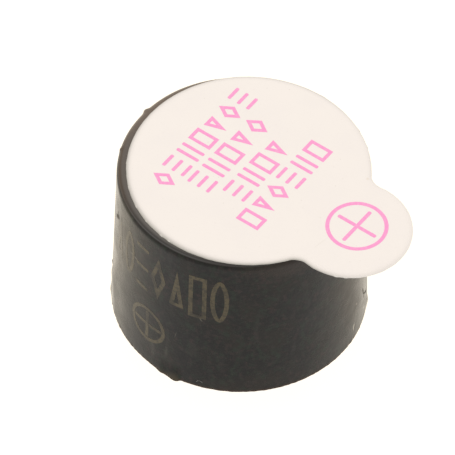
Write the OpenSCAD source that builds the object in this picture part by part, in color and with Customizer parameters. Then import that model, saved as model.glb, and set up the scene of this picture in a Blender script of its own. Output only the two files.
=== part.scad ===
// Magnetic buzzer for a circuit board: a round moulded case with a peel-off seal on top,
// a vibrating disc held over an iron core, a ring magnet and two windings, and under them
// a small drive circuit sealed in resin, with two pins.
// Z = 0 is the plane of the case's rim, which sits on the board. +X points to the + pin.

/* [Case] */
// Outer diameter of the case at its open rim
case_d = 12; // [11.6:0.1:13]
// Height of the case, from its rim to its top
case_h = 9; // [8.7:0.1:10]
// How much narrower the case is across its top than across its rim
case_draft = 0.4; // [0:0.1:0.8]
// Radius of the case's rounded top edge
edge_r = 0.35; // [0.2:0.05:0.6]
// Thickness of the side wall at the rim
wall_t = 0.9; // [0.8:0.05:1.1]
// Thickness of the top over the front chamber
top_t = 0.9; // [0.6:0.05:1.1]
// Bevel round the mouth of the bore
mouth_bevel = 0.12; // [0.05:0.01:0.2]
// Width of the ledge that stops the inner stack
ledge_w = 0.7; // [0.5:0.05:0.9]
// Radius of the corner under the roof of the front chamber
roof_r = 0.3; // [0.1:0.05:0.5]
// Diameter of the sound hole in the top
sound_hole_d = 2.2; // [1.6:0.1:3]

/* [Seal] */
// Thickness of the seal
seal_t = 0.15; // [0.1:0.01:0.2]
// How far the round part of the seal stays inside the case's top diameter
seal_inset = 0.14; // [0:0.02:0.4]
// How far the tab's tip stands out past the round part of the seal
tab_out = 3.05; // [2:0.05:4]
// Diameter of the tab
tab_d = 5.8; // [5:0.1:7]
// Radius of the two fillets between the tab and the round part
neck_r = 0.8; // [0.2:0.05:1.2]
// How far the seal was stuck off centre towards the tab
seal_shift_x = 0.3; // [0:0.02:0.5]
// How far the seal was stuck off centre sideways
seal_shift_y = 0.14; // [-0.2:0.02:0.2]
// Angle by which the seal was stuck askew
seal_turn = -0.5; // [-5:0.5:5]

/* [Pins] */
// Distance between the two pins
pin_pitch = 7.6; // [7.2:0.1:8]
// Diameter of a pin
pin_d = 0.6; // [0.5:0.05:0.7]
// How far the pins stand out under the rim
pin_len = 3.3; // [2.5:0.1:6.5]
// Bevel at a pin's tip
pin_bevel = 0.1; // [0.05:0.01:0.15]
// Length of the flattened stretch that locks a pin in the resin
anchor_len = 0.8; // [0.7:0.05:0.9]
// Width of the flattened stretch
anchor_w = 1; // [0.94:0.02:1.1]
// Thickness of the flattened stretch
anchor_t = 0.28; // [0.24:0.02:0.34]
// How far a pin stands out over the board
pin_over = 0.15; // [0.05:0.05:0.3]

/* [Resin and board] */
// Depth of the resin's surface inside the rim
resin_recess = 0.3; // [0.2:0.05:0.4]
// Height that the resin climbs at the wall and at the pins
resin_climb = 0.14; // [0.1:0.02:0.19]
// Thickness of the resin under the board
resin_t = 1.35; // [1.3:0.05:1.6]
// Thickness of the circuit board
board_t = 0.8; // [0.6:0.1:1]
// Thickness of the copper on the board
copper_t = 0.05; // [0.03:0.01:0.07]
// Diameter of the copper land round a pin
pin_land_d = 1.3; // [1.2:0.05:1.4]
// Diameter of the copper land round a winding's lead
lead_land_d = 0.8; // [0.6:0.05:0.9]
// Width of a copper track
track_w = 0.3; // [0.2:0.05:0.4]
// Gap round what passes through a hole in the board
hole_gap = 0.05; // [0.02:0.01:0.1]

/* [Magnetic stack] */
// Gap round each ring and disc of the stack
fit_gap = 0.05; // [0.02:0.01:0.08]
// Thickness of the steel yoke
yoke_t = 0.75; // [0.6:0.05:1]
// Width of the notch in the yoke round a pin
notch_d = 1.6; // [1.3:0.1:1.8]
// Diameter of the iron core
core_d = 2.2; // [1.8:0.1:2.4]
// Height of the core over the yoke
core_h = 2.8; // [2.6:0.1:3.1]
// Diameter of the core's foot, riveted into the yoke
core_foot_d = 1.4; // [1:0.1:1.6]
// Height of the ring magnet
magnet_h = 2.4; // [2:0.1:2.6]
// Diameter of the magnet's bore
magnet_bore_d = 6; // [5.8:0.1:6.4]
// Wall of the plastic ring that carries the diaphragm
ring_t = 0.5; // [0.45:0.05:0.6]
// Width of the raised lip round the diaphragm
lip_t = 0.2; // [0.15:0.05:0.25]
// Air gap between the core and the diaphragm
air_gap = 0.3; // [0.2:0.05:0.4]
// Thickness of the diaphragm
diaphragm_t = 0.08; // [0.05:0.01:0.12]
// Free height over the diaphragm's edge, up to the ledge
headroom = 0.12; // [0.08:0.02:0.2]
// Diameter of the iron disc bonded to the diaphragm
armature_d = 4.4; // [3.6:0.1:5]
// Thickness of the iron disc
armature_t = 0.3; // [0.2:0.05:0.4]

/* [Windings] */
// Height of both windings
coil_h = 2.4; // [2:0.1:2.5]
// Radial thickness of the inner, drive winding
drive_t = 0.95; // [0.8:0.05:1]
// Radial thickness of the outer, feedback winding
feedback_t = 0.6; // [0.4:0.05:0.6]
// Diameter of the enamelled wire
wire_d = 0.1; // [0.08:0.01:0.12]
// Length of wire that stands out of a hole under the board
wire_tail = 0.2; // [0.1:0.02:0.24]
// Half the distance between the two leads of a winding
lead_split = 0.65; // [0.55:0.05:0.75]
// Width of a slot for the leads in the yoke
slot_w = 0.7; // [0.5:0.05:0.8]

/* [Chips] */
// Length of the transistor's body
transistor_l = 2.9; // [2.8:0.05:3]
// Width of the transistor's body
transistor_w = 1.3; // [1.2:0.05:1.4]
// Height of the transistor's body
transistor_h = 0.9; // [0.8:0.05:1]
// Width over the transistor's leads
transistor_span = 2.4; // [2.2:0.05:2.5]
// Distance between the two leads on one side
transistor_pitch = 1.9; // [1.8:0.05:2]
// Gap under the transistor's body
transistor_lift = 0.08; // [0.05:0.01:0.1]
// Width of one of the transistor's leads
tlead_w = 0.4; // [0.3:0.02:0.5]
// Thickness of one of the transistor's leads
tlead_t = 0.12; // [0.08:0.01:0.15]
// Length of the resistor
resistor_l = 1.6; // [1.5:0.05:1.7]
// Width of the resistor
resistor_w = 0.8; // [0.7:0.05:0.9]
// Height of the resistor
resistor_h = 0.45; // [0.35:0.05:0.55]
// Length of one of the resistor's metal ends
resistor_end = 0.3; // [0.2:0.02:0.35]
// Size of a solder fillet at a chip
fillet = 0.22; // [0.15:0.01:0.28]

/* [Hidden] */
$fn = 64;

// Slack for cuts, so that no cut ends flush with a face
slack = 1;

// Radii of the case
rim_r = case_d / 2;
top_r = rim_r - case_draft / 2;
bore_r = rim_r - wall_t;
chamber_r = bore_r - ledge_w;
draft_angle = atan((rim_r - top_r) / case_h);

// Heights of the stack, from the rim up
board_z = resin_recess + resin_t;
yoke_z = board_z + board_t;
magnet_z = yoke_z + yoke_t;
seat_z = magnet_z + core_h + air_gap;
ledge_z = seat_z + diaphragm_t + headroom;
roof_z = case_h - top_t;

// Radii of the stack, from the bore in
board_r = bore_r - fit_gap;
ring_r = bore_r - fit_gap;
ring_in_r = ring_r - ring_t;
magnet_r = ring_in_r - fit_gap;
diaphragm_r = ring_r - lip_t - fit_gap;
core_r = core_d / 2;
drive_in_r = core_r + fit_gap;
feedback_in_r = drive_in_r + drive_t;
coil_r = feedback_in_r + feedback_t;

// Where the parts of the circuit stand, seen from above
pin_x = pin_pitch / 2;
drive_lead_y = drive_in_r + drive_t * 0.6;
feedback_lead_y = -(feedback_in_r + feedback_t * 0.3);
lead_hole_r = wire_d / 2 + hole_gap;
chip_z = board_z - copper_t;
transistor_x = -1.6;
resistor_x = 2.1;
resistor_y = -1.4;

// ---- general shapes ----

module disc(r, z, h) {
    translate([0, 0, z]) cylinder(r = r, h = h);
}

module ring(r_out, r_in, z, h) {
    difference() {
        disc(r_out, z, h);
        disc(r_in, z - slack, h + 2 * slack);
    }
}

module at_drive_leads() {
    for (side = [-1, 1]) translate([side * lead_split, drive_lead_y, 0]) children();
}

module at_feedback_leads() {
    for (side = [-1, 1]) translate([side * lead_split, feedback_lead_y, 0]) children();
}

module at_pins() {
    for (side = [-1, 1]) translate([side * pin_x, 0, 0]) children();
}

// Things under the board are drawn standing on z = 0 and hung from the copper
module under_board(x = 0, y = 0) {
    translate([x, y, chip_z]) mirror([0, 0, 1]) children();
}

// ---- case ----

// Half section of the solid case: a tapered wall, closed by a rounded top edge
module case_outline() {
    edge_z = case_h - edge_r;
    edge_x = rim_r - edge_z * tan(draft_angle) - edge_r / cos(draft_angle);
    polygon([
        [0, 0],
        [rim_r, 0],
        [edge_x + edge_r * cos(draft_angle), edge_z + edge_r * sin(draft_angle)],
        [edge_x, edge_z],
        [edge_x, case_h],
        [0, case_h]
    ]);
    translate([edge_x, edge_z]) circle(r = edge_r);
}

// Half section of what is hollow: beveled mouth, bore, ledge, chamber and sound hole
module case_hollow() {
    polygon([
        [0, -slack],
        [bore_r + mouth_bevel, -slack],
        [bore_r + mouth_bevel, 0],
        [bore_r, mouth_bevel],
        [bore_r, ledge_z],
        [chamber_r, ledge_z],
        [chamber_r, roof_z - roof_r],
        [chamber_r - roof_r, roof_z - roof_r],
        [chamber_r - roof_r, roof_z],
        [0, roof_z]
    ]);
    translate([chamber_r - roof_r, roof_z - roof_r]) circle(r = roof_r);
    translate([0, roof_z - slack]) square([sound_hole_d / 2, top_t + 2 * slack]);
}

module case() {
    color([0.2, 0.19, 0.18])
    rotate_extrude() difference() {
        case_outline();
        case_hollow();
    }
}

// ---- seal ----

// Two circles joined by a neck with a tangent fillet on each side
module seal_outline() {
    seal_r = top_r - seal_inset;
    tab_r = tab_d / 2;
    tab_x = seal_r + tab_out - tab_r;
    neck_x = (pow(seal_r + neck_r, 2) - pow(tab_r + neck_r, 2) + tab_x * tab_x) / (2 * tab_x);
    neck_y = sqrt(pow(seal_r + neck_r, 2) - neck_x * neck_x);
    circle(r = seal_r);
    translate([tab_x, 0]) circle(r = tab_r);
    difference() {
        polygon([[0, 0], [neck_x, -neck_y], [tab_x, 0], [neck_x, neck_y]]);
        for (side = [-1, 1]) translate([neck_x, side * neck_y]) circle(r = neck_r);
    }
}

module seal_label() {
    color([0.97, 0.94, 0.9])
    translate([seal_shift_x, seal_shift_y, case_h])
    rotate(seal_turn)
    linear_extrude(seal_t) seal_outline();
}

// ---- magnetic stack ----

module diaphragm() {
    color([0.72, 0.72, 0.7]) disc(diaphragm_r, seat_z, diaphragm_t);
}

module armature() {
    color([0.6, 0.6, 0.62]) disc(armature_d / 2, seat_z + diaphragm_t, armature_t);
}

// A plain sleeve with a shoulder for the diaphragm and a lip round it
module support_ring() {
    lip_in_r = ring_r - lip_t;
    color([0.92, 0.92, 0.88])
    rotate_extrude()
    polygon([
        [ring_in_r, yoke_z],
        [ring_r, yoke_z],
        [ring_r, ledge_z],
        [lip_in_r, ledge_z],
        [lip_in_r, seat_z],
        [ring_in_r, seat_z]
    ]);
}

module magnet() {
    color([0.25, 0.24, 0.24]) ring(magnet_r, magnet_bore_d / 2, magnet_z, magnet_h);
}

module core() {
    color([0.66, 0.66, 0.66]) {
        disc(core_r, magnet_z, core_h);
        disc(core_foot_d / 2, yoke_z, yoke_t);
    }
}

module slot_cut(y) {
    translate([0, y, yoke_z - slack]) linear_extrude(yoke_t + 2 * slack) {
        square([2 * lead_split, slot_w], center = true);
        for (side = [-1, 1]) translate([side * lead_split, 0]) circle(d = slot_w);
    }
}

module yoke() {
    color([0.7, 0.7, 0.72])
    difference() {
        ring(magnet_r, core_foot_d / 2, yoke_z, yoke_t);
        at_pins() disc(notch_d / 2, yoke_z - slack, yoke_t + 2 * slack);
        slot_cut(drive_lead_y);
        slot_cut(feedback_lead_y);
    }
}

// ---- windings ----

module drive_coil() {
    color([0.72, 0.38, 0.2]) ring(feedback_in_r, drive_in_r, magnet_z, coil_h);
}

// The turns of the outermost layer show as a row of ridges
module feedback_coil() {
    turns = floor(coil_h / (wire_d * 1.06));
    pitch = coil_h / turns;
    ridge_x = coil_r - wire_d / 2;
    color([0.8, 0.45, 0.22])
    translate([0, 0, magnet_z]) rotate_extrude() {
        translate([feedback_in_r, 0]) square([ridge_x - feedback_in_r, coil_h]);
        for (i = [0 : turns - 1]) translate([ridge_x, (i + 0.5) * pitch]) circle(d = wire_d);
    }
}

// From the foot of a winding, down through the yoke and the board
module lead_wire() {
    tail_z = chip_z - wire_tail;
    translate([0, 0, tail_z]) cylinder(d = wire_d, h = magnet_z - tail_z);
}

module drive_leads() {
    color([0.72, 0.38, 0.2]) at_drive_leads() lead_wire();
}

module feedback_leads() {
    color([0.8, 0.45, 0.22]) at_feedback_leads() lead_wire();
}

// ---- board ----

module circuit_board() {
    color([0.1, 0.35, 0.2])
    difference() {
        disc(board_r, board_z, board_t);
        at_pins() disc(pin_d / 2 + hole_gap, board_z - slack, board_t + 2 * slack);
        at_drive_leads() disc(lead_hole_r, board_z - slack, board_t + 2 * slack);
        at_feedback_leads() disc(lead_hole_r, board_z - slack, board_t + 2 * slack);
    }
}

// A straight track with round ends
module track(from, to) {
    run = to - from;
    translate(from) rotate(atan2(run[1], run[0])) {
        translate([0, -track_w / 2]) square([norm(run), track_w]);
        circle(d = track_w);
        translate([norm(run), 0]) circle(d = track_w);
    }
}

module chip_land(x, y, l, w) {
    translate([x, y]) square([l, w], center = true);
}

// Lands and tracks: + pin to the drive winding and the resistor, resistor to the feedback
// winding, feedback winding to the base, drive winding to the collector, emitter to - pin
module copper_layout() {
    foot_x = transistor_span / 2 - fillet / 2;
    single = [transistor_x + foot_x, 0];
    base = [transistor_x - foot_x, -transistor_pitch / 2];
    emitter = [transistor_x - foot_x, transistor_pitch / 2];
    end_x = (resistor_l - resistor_end) / 2;
    hot_end = [resistor_x + end_x, resistor_y];
    cold_end = [resistor_x - end_x, resistor_y];
    foot_l = 3 * fillet;
    foot_w = tlead_w + fillet;
    for (side = [-1, 1]) translate([side * pin_x, 0]) circle(d = pin_land_d);
    for (side = [-1, 1]) translate([side * lead_split, drive_lead_y]) circle(d = lead_land_d);
    for (side = [-1, 1]) translate([side * lead_split, feedback_lead_y]) circle(d = lead_land_d);
    for (foot = [single, base, emitter]) chip_land(foot[0], foot[1], foot_l, foot_w);
    for (end = [hot_end, cold_end]) chip_land(end[0], end[1], resistor_end + 2 * fillet, resistor_w);
    track([pin_x, 0], [lead_split, drive_lead_y]);
    track([pin_x, 0], hot_end);
    track(cold_end, [lead_split, feedback_lead_y]);
    track([-lead_split, feedback_lead_y], base);
    track([-lead_split, drive_lead_y], single);
    track(emitter, [-pin_x, 0]);
}

module board_copper() {
    color([0.85, 0.55, 0.3])
    translate([0, 0, chip_z]) linear_extrude(copper_t) difference() {
        copper_layout();
        for (side = [-1, 1]) {
            translate([side * pin_x, 0]) circle(d = pin_d);
            translate([side * lead_split, drive_lead_y]) circle(d = wire_d);
            translate([side * lead_split, feedback_lead_y]) circle(d = wire_d);
        }
    }
}

// ---- chips ----

module transistor_body() {
    color([0.12, 0.12, 0.12])
    under_board(transistor_x)
    translate([-transistor_w / 2, -transistor_l / 2, transistor_lift])
    cube([transistor_w, transistor_l, transistor_h]);
}

// A gull wing: out of the body at half its height, down, and out along the board
module gull_lead() {
    wall_x = transistor_w / 2;
    knee_x = wall_x + (transistor_span / 2 - wall_x) * 0.35;
    foot_x = wall_x + (transistor_span / 2 - wall_x) * 0.55;
    top_z = transistor_lift + transistor_h / 2 + tlead_t / 2;
    translate([0, tlead_w / 2, 0]) rotate([90, 0, 0]) linear_extrude(tlead_w)
    polygon([
        [wall_x, top_z],
        [knee_x + tlead_t / 2, top_z],
        [foot_x + tlead_t / 2, tlead_t],
        [transistor_span / 2, tlead_t],
        [transistor_span / 2, 0],
        [foot_x - tlead_t / 2, 0],
        [knee_x - tlead_t / 2, top_z - tlead_t],
        [wall_x, top_z - tlead_t]
    ]);
}

module at_transistor_feet() {
    under_board(transistor_x) {
        children();
        for (side = [-1, 1]) translate([0, side * transistor_pitch / 2, 0]) mirror([1, 0, 0]) children();
    }
}

module transistor_leads() {
    color([0.8, 0.8, 0.8]) at_transistor_feet() gull_lead();
}

module resistor_body() {
    core_l = resistor_l - 2 * resistor_end;
    color([0.15, 0.15, 0.17])
    under_board(resistor_x, resistor_y)
    translate([-core_l / 2, -resistor_w / 2, 0])
    cube([core_l, resistor_w, resistor_h]);
}

module at_resistor_ends() {
    under_board(resistor_x, resistor_y)
    for (side = [0, 1]) mirror([side, 0, 0]) translate([resistor_l / 2, 0, 0]) children();
}

module resistor_caps() {
    color([0.8, 0.8, 0.78])
    at_resistor_ends()
    translate([-resistor_end, -resistor_w / 2, 0])
    cube([resistor_end, resistor_w, resistor_h]);
}

// A wedge of solder against the end of a lead or cap at x = 0
module solder_wedge(w, h) {
    translate([0, w / 2, 0]) rotate([90, 0, 0]) linear_extrude(w)
    polygon([[0, 0], [fillet, 0], [0, h]]);
}

module chip_solder() {
    color([0.75, 0.76, 0.77]) {
        at_transistor_feet() translate([transistor_span / 2, 0, 0]) solder_wedge(tlead_w, tlead_t);
        at_resistor_ends() solder_wedge(resistor_w * 0.9, fillet);
    }
}

// ---- solder at the leads and pins ----

// A low dome on each lead's land
module lead_dome() {
    dome_r = lead_land_d / 2 - hole_gap;
    dome_h = wire_tail + wire_d;
    ball_r = (dome_r * dome_r + dome_h * dome_h) / (2 * dome_h);
    intersection() {
        translate([0, 0, dome_h - ball_r]) sphere(r = ball_r);
        cylinder(r = dome_r + slack, h = dome_h + slack);
    }
}

module lead_solder() {
    color([0.75, 0.76, 0.77])
    difference() {
        for (side = [-1, 1]) {
            under_board(side * lead_split, drive_lead_y) lead_dome();
            under_board(side * lead_split, feedback_lead_y) lead_dome();
        }
        at_drive_leads() lead_wire();
        at_feedback_leads() lead_wire();
    }
}

// A cone round each pin, from its land down to the flattened stretch
module pin_solder() {
    cone_r = pin_land_d / 2 - hole_gap;
    cone_h = resin_t - copper_t - anchor_len;
    color([0.75, 0.76, 0.77])
    for (side = [-1, 1]) under_board(side * pin_x) difference() {
        cylinder(r1 = cone_r, r2 = pin_d / 2 + hole_gap, h = cone_h * 0.9);
        translate([0, 0, -slack]) cylinder(d = pin_d, h = cone_h + 2 * slack);
    }
}

// ---- pins ----

// Round wire with a beveled tip, flattened where the resin grips it
module pin() {
    tip_z = -pin_len;
    anchor_z = resin_recess;
    shank_z = anchor_z + anchor_len;
    head_z = yoke_z + pin_over;
    pin_r = pin_d / 2;
    translate([0, 0, tip_z]) cylinder(r1 = pin_r - pin_bevel, r2 = pin_r, h = pin_bevel);
    disc(pin_r, tip_z + pin_bevel, anchor_z - tip_z - pin_bevel);
    intersection() {
        disc(anchor_w / 2, anchor_z, anchor_len);
        translate([-anchor_t / 2, -anchor_w, anchor_z]) cube([anchor_t, 2 * anchor_w, anchor_len]);
    }
    disc(pin_r, shank_z, head_z - shank_z);
}

module pin_positive() {
    color([0.85, 0.85, 0.84]) translate([pin_x, 0, 0]) pin();
}

module pin_negative() {
    color([0.85, 0.85, 0.84]) translate([-pin_x, 0, 0]) pin();
}

// ---- resin ----

// Half section of the filled space, hollowed by the curve that the resin takes at the wall
module resin_section() {
    difference() {
        translate([0, resin_recess - resin_climb]) square([bore_r, resin_t + resin_climb]);
        square([2 * (bore_r - resin_climb), 2 * resin_recess], center = true);
        translate([bore_r - resin_climb, resin_recess - resin_climb]) circle(r = resin_climb);
    }
}

module resin() {
    color([0.1, 0.1, 0.1])
    difference() {
        union() {
            rotate_extrude() resin_section();
            at_pins() translate([0, 0, resin_recess - resin_climb])
                cylinder(r1 = pin_d / 2 + 0.02, r2 = pin_d / 2 + resin_climb, h = resin_climb);
        }
        pin_positive();
        pin_negative();
        pin_solder();
        drive_leads();
        feedback_leads();
        lead_solder();
        board_copper();
        transistor_body();
        transistor_leads();
        resistor_body();
        resistor_caps();
        chip_solder();
    }
}

case();
seal_label();
diaphragm();
armature();
support_ring();
magnet();
core();
yoke();
drive_coil();
feedback_coil();
drive_leads();
feedback_leads();
circuit_board();
board_copper();
transistor_body();
transistor_leads();
resistor_body();
resistor_caps();
chip_solder();
lead_solder();
pin_solder();
pin_positive();
pin_negative();
resin();
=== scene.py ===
import math

import bmesh
import bpy
from mathutils import Matrix, Vector, noise


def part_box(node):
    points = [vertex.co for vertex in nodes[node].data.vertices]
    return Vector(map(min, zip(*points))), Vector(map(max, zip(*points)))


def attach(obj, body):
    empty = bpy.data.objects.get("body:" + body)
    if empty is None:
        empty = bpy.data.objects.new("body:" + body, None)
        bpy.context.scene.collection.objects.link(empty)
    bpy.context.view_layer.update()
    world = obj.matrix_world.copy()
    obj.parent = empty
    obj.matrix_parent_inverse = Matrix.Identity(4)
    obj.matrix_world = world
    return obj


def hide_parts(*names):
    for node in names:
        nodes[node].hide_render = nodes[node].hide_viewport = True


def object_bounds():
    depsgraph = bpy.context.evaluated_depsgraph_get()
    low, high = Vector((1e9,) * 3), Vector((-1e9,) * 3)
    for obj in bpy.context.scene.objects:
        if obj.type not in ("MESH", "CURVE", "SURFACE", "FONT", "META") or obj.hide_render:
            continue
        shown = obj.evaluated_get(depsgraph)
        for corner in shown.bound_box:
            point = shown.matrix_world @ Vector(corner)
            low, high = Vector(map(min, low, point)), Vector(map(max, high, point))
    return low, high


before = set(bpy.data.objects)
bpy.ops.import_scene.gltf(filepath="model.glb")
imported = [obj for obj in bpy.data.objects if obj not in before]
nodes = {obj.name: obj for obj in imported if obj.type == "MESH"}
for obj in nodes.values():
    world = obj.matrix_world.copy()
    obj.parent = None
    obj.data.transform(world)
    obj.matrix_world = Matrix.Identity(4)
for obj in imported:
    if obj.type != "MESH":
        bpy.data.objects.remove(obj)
cad_low, cad_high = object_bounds()


# ---- case ----
# A cup of black moulded plastic, open below, with a tapered wall, a rounded top edge, a
# sound hole, a chamber under the roof and a ledge that stops the stack. The mould left a
# little flash at its rim, and handling left knocks, scuffs and a dusty film on its edge.
# The colour also holds painted light: the film on the rounded edge is made paler and browner
# as painted light from above and behind, a pale band on that edge is a painted highlight,
# and a brown smudge under the seal's tab is also a painted reflection off the tab.

mm = 0.001

_, case_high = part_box("case")
_, carrier_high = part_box("support_ring")
_, resin_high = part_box("resin")

wall_taper = 0.2 * mm
roof_thickness = 0.9 * mm
ledge_width = 0.7 * mm
rim_radius = case_high.x
case_top = case_high.z
top_radius = rim_radius - wall_taper
top_edge = 0.4 * mm
roof_z = case_top - roof_thickness
roof_corner = 0.3 * mm
ledge_z = carrier_high.z
bore_radius = resin_high.x
chamber_radius = bore_radius - ledge_width
sound_hole_radius = 1.1 * mm
mouth_bevel = 0.12 * mm
rim_rounding = 0.05 * mm
case_steps = 480
wall_rows = 70
merge_reach = 0.001 * mm

wave_depth = 0.006 * mm
wave_size = 1.3 * mm
ripple_depth = 0.002 * mm
ripple_size = 0.3 * mm

rim_raggedness = 0.02 * mm
ragged_height = 0.3 * mm
ragged_turns = 40
flash_height = 0.9 * mm
flash_fade = 1.5
rim_flash = [
    # degrees round the rim, how far the flash stands out there
    (-99, 0),
    (-94, 0.03 * mm),
    (-91, 0.1 * mm),
    (-88, 0.08 * mm),
    (-83.5, 0.17 * mm),
    (-82, 0.14 * mm),
    (-80.5, 0),
]
knocks = [
    # degrees round, height, reach, how far out it is pushed (in, below 0)
    (-131, 7.1 * mm, 0.12 * mm, -0.025 * mm),
    (-145, 0.1 * mm, 0.3 * mm, 0.045 * mm),
    (-149, 0.9 * mm, 0.35 * mm, 0.05 * mm),
    (-141, 3.0 * mm, 0.2 * mm, 0.02 * mm),
    (-143, 2.3 * mm, 0.1 * mm, 0.05 * mm),
    (-157, 8.8 * mm, 0.12 * mm, 0.05 * mm),
    (177, 8.82 * mm, 0.16 * mm, 0.1 * mm),
    (32.6, 0.1 * mm, 0.22 * mm, 0.055 * mm),
    (9.8, 0.8 * mm, 0.1 * mm, -0.02 * mm),
    (-168, 8.8 * mm, 2 * mm, 0.025 * mm),
    (158, 8.8 * mm, 2 * mm, 0.03 * mm),
    (112, 5.2 * mm, 0.3 * mm, -0.04 * mm),
    (171, 2.7 * mm, 0.25 * mm, -0.03 * mm),
]
scuffs = [
    # degrees round, height, half its width, half its length, its lean, how strong, colour
    (-124, 6.2 * mm, 1.1 * mm, 3.4 * mm, -8, 0.5, "stain"),
    (-132, 8.95 * mm, 0.05 * mm, 0.05 * mm, 0, 0.9, "scratch"),
    (-121, 8.96 * mm, 0.05 * mm, 0.05 * mm, 0, 0.9, "scratch"),
    (-137, 4.2 * mm, 0.9 * mm, 2.2 * mm, 5, 0.5, "stain"),
    (-111, 2.2 * mm, 1.2 * mm, 2.8 * mm, 8, 0.8, "wiped"),
    # under the seal's tab: a brown smudge that is also a painted reflection of light off the tab's
    # underside
    (-22, 8.5 * mm, 3.4 * mm, 0.9 * mm, 0, 0.6, "smoke_and_glow"),
    (-46, 0.4 * mm, 3.2 * mm, 0.8 * mm, 4, 0.2, "smoke_and_glow"),
    (-96.4, 1.2 * mm, 0.16 * mm, 0.7 * mm, 3, 0.05, "scratch"),
    (-88.7, 1.6 * mm, 0.1 * mm, 0.5 * mm, 0, 0.05, "scratch"),
    (-100.4, 1.8 * mm, 0.16 * mm, 0.6 * mm, 0, 0.05, "scratch"),
    (8, 3.2 * mm, 1.2 * mm, 2.4 * mm, 10, 0.3, "smoke_and_glow"),
    (-131.7, 6.95 * mm, 0.13 * mm, 0.45 * mm, -48, 0.6, "dirt"),
    (-130.9, 7.25 * mm, 0.13 * mm, 0.15 * mm, 0, 0.3, "dirt"),
    (21.4, 2.05 * mm, 0.07 * mm, 0.4 * mm, 18, 0.75, "dirt"),
    (26.2, 1.45 * mm, 0.08 * mm, 0.38 * mm, 51, 0.7, "dirt"),
    (23, 1.6 * mm, 0.09 * mm, 0.14 * mm, -50, 0.6, "dirt"),
    (26, 1.25 * mm, 0.09 * mm, 0.1 * mm, 0, 0.8, "scratch"),
    (12.5, 2.2 * mm, 0.07 * mm, 0.07 * mm, 0, 0.8, "scratch"),
    (23, 0.7 * mm, 0.1 * mm, 0.1 * mm, 0, 0.7, "scratch"),
    (9.8, 0.8 * mm, 0.055 * mm, 0.26 * mm, -14, 1, "scratch"),
    (-110.9, 6.37 * mm, 0.5 * mm, 0.018 * mm, 2, 0.6, "scratch"),
    (-72.3, 4.85 * mm, 0.018 * mm, 0.24 * mm, 35, 0.4, "scratch"),
    (-84, 3.1 * mm, 0.02 * mm, 0.3 * mm, -12, 0.15, "scratch"),
    (76, 4.6 * mm, 0.02 * mm, 0.5 * mm, 24, 0.3, "scratch"),
    (140, 6.2 * mm, 0.02 * mm, 0.4 * mm, -30, 0.3, "scratch"),
]
scuff_colours = {
    "stain": (0.04, 0.032, 0.016),
    "smoke_and_glow": (0.026, 0.018, 0.013),
    "wiped": (0.002, 0.002, 0.002),
    "dirt": (0.03, 0.02, 0.01),
    "scratch": (0.3, 0.28, 0.23),
}


def turned(outline, steps):
    """A closed outline of (radius, height) corners, spun once round the upright axis."""
    bm = bmesh.new()
    corners = [bm.verts.new((radius, 0, height)) for radius, height in outline]
    for here, there in zip(corners, corners[1:] + corners[:1]):
        bm.edges.new((here, there))
    bmesh.ops.spin(
        bm, geom=bm.verts[:] + bm.edges[:], cent=(0, 0, 0), axis=(0, 0, 1),
        angle=2 * math.pi, steps=steps, use_merge=True,
    )
    bmesh.ops.remove_doubles(bm, verts=bm.verts[:], dist=merge_reach)
    bmesh.ops.recalc_face_normals(bm, faces=bm.faces[:])
    return bm


def off_axis(vert):
    """How far a corner of the mesh is from the upright axis."""
    return math.hypot(vert.co.x, vert.co.y)


def turned_corner(bm, radius, height):
    """The edges of a turned shape that run round at this radius and height."""
    def on_it(vert):
        off_radius = abs(off_axis(vert) - radius)
        off_height = abs(vert.co.z - height)
        return max(off_radius, off_height) < 2 * merge_reach
    return [edge for edge in bm.edges if all(on_it(vert) for vert in edge.verts)]


def rounded(bm, edges, radius, segments):
    """Rounds these edges."""
    bmesh.ops.bevel(
        bm, geom=edges, offset=radius, offset_type="OFFSET", segments=segments,
        profile=0.5, affect="EDGES", material=-1, clamp_overlap=True,
    )


def knocked(angle, height):
    """How far the knocks push the case's outside in or out there."""
    push = 0
    for degrees, level, reach, depth in knocks:
        aside = rim_radius * math.remainder(angle - math.radians(degrees), 2 * math.pi)
        push += depth * math.exp(-(aside ** 2 + (height - level) ** 2) / reach ** 2)
    return push


def tapered_radius(height):
    """The outside of the plain tapered wall at this height."""
    return rim_radius + (top_radius - rim_radius) * height / case_top


def wall_radius(angle, height):
    """The outside of the wall there: its taper, a slight waviness and its knocks."""
    radius = tapered_radius(height)
    around = Vector((radius * math.cos(angle), radius * math.sin(angle), height))
    radius += (
        wave_depth * noise.noise(around / wave_size)
        + ripple_depth * noise.noise(around / ripple_size)
    )
    return radius + knocked(angle, height)


def flash_at(angle):
    """How far the mould's flash stands out from the rim there."""
    degrees = math.degrees(angle)
    for (start, near), (end, far) in zip(rim_flash, rim_flash[1:]):
        if start <= degrees <= end:
            return near + (far - near) * (degrees - start) / (end - start)
    return 0


def piece(bm, name, finish, crease=35):
    """Makes the mesh a piece of the buzzer's one body, smooth up to that crease angle."""
    mesh = bpy.data.meshes.new(name)
    bm.to_mesh(mesh)
    bm.free()
    mesh.materials.append(finish)
    for polygon in mesh.polygons:
        polygon.use_smooth = True
    mesh.set_sharp_from_angle(angle=math.radians(crease))
    obj = bpy.data.objects.new(name, mesh)
    bpy.context.scene.collection.objects.link(obj)
    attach(obj, "root")
    return obj


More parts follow.
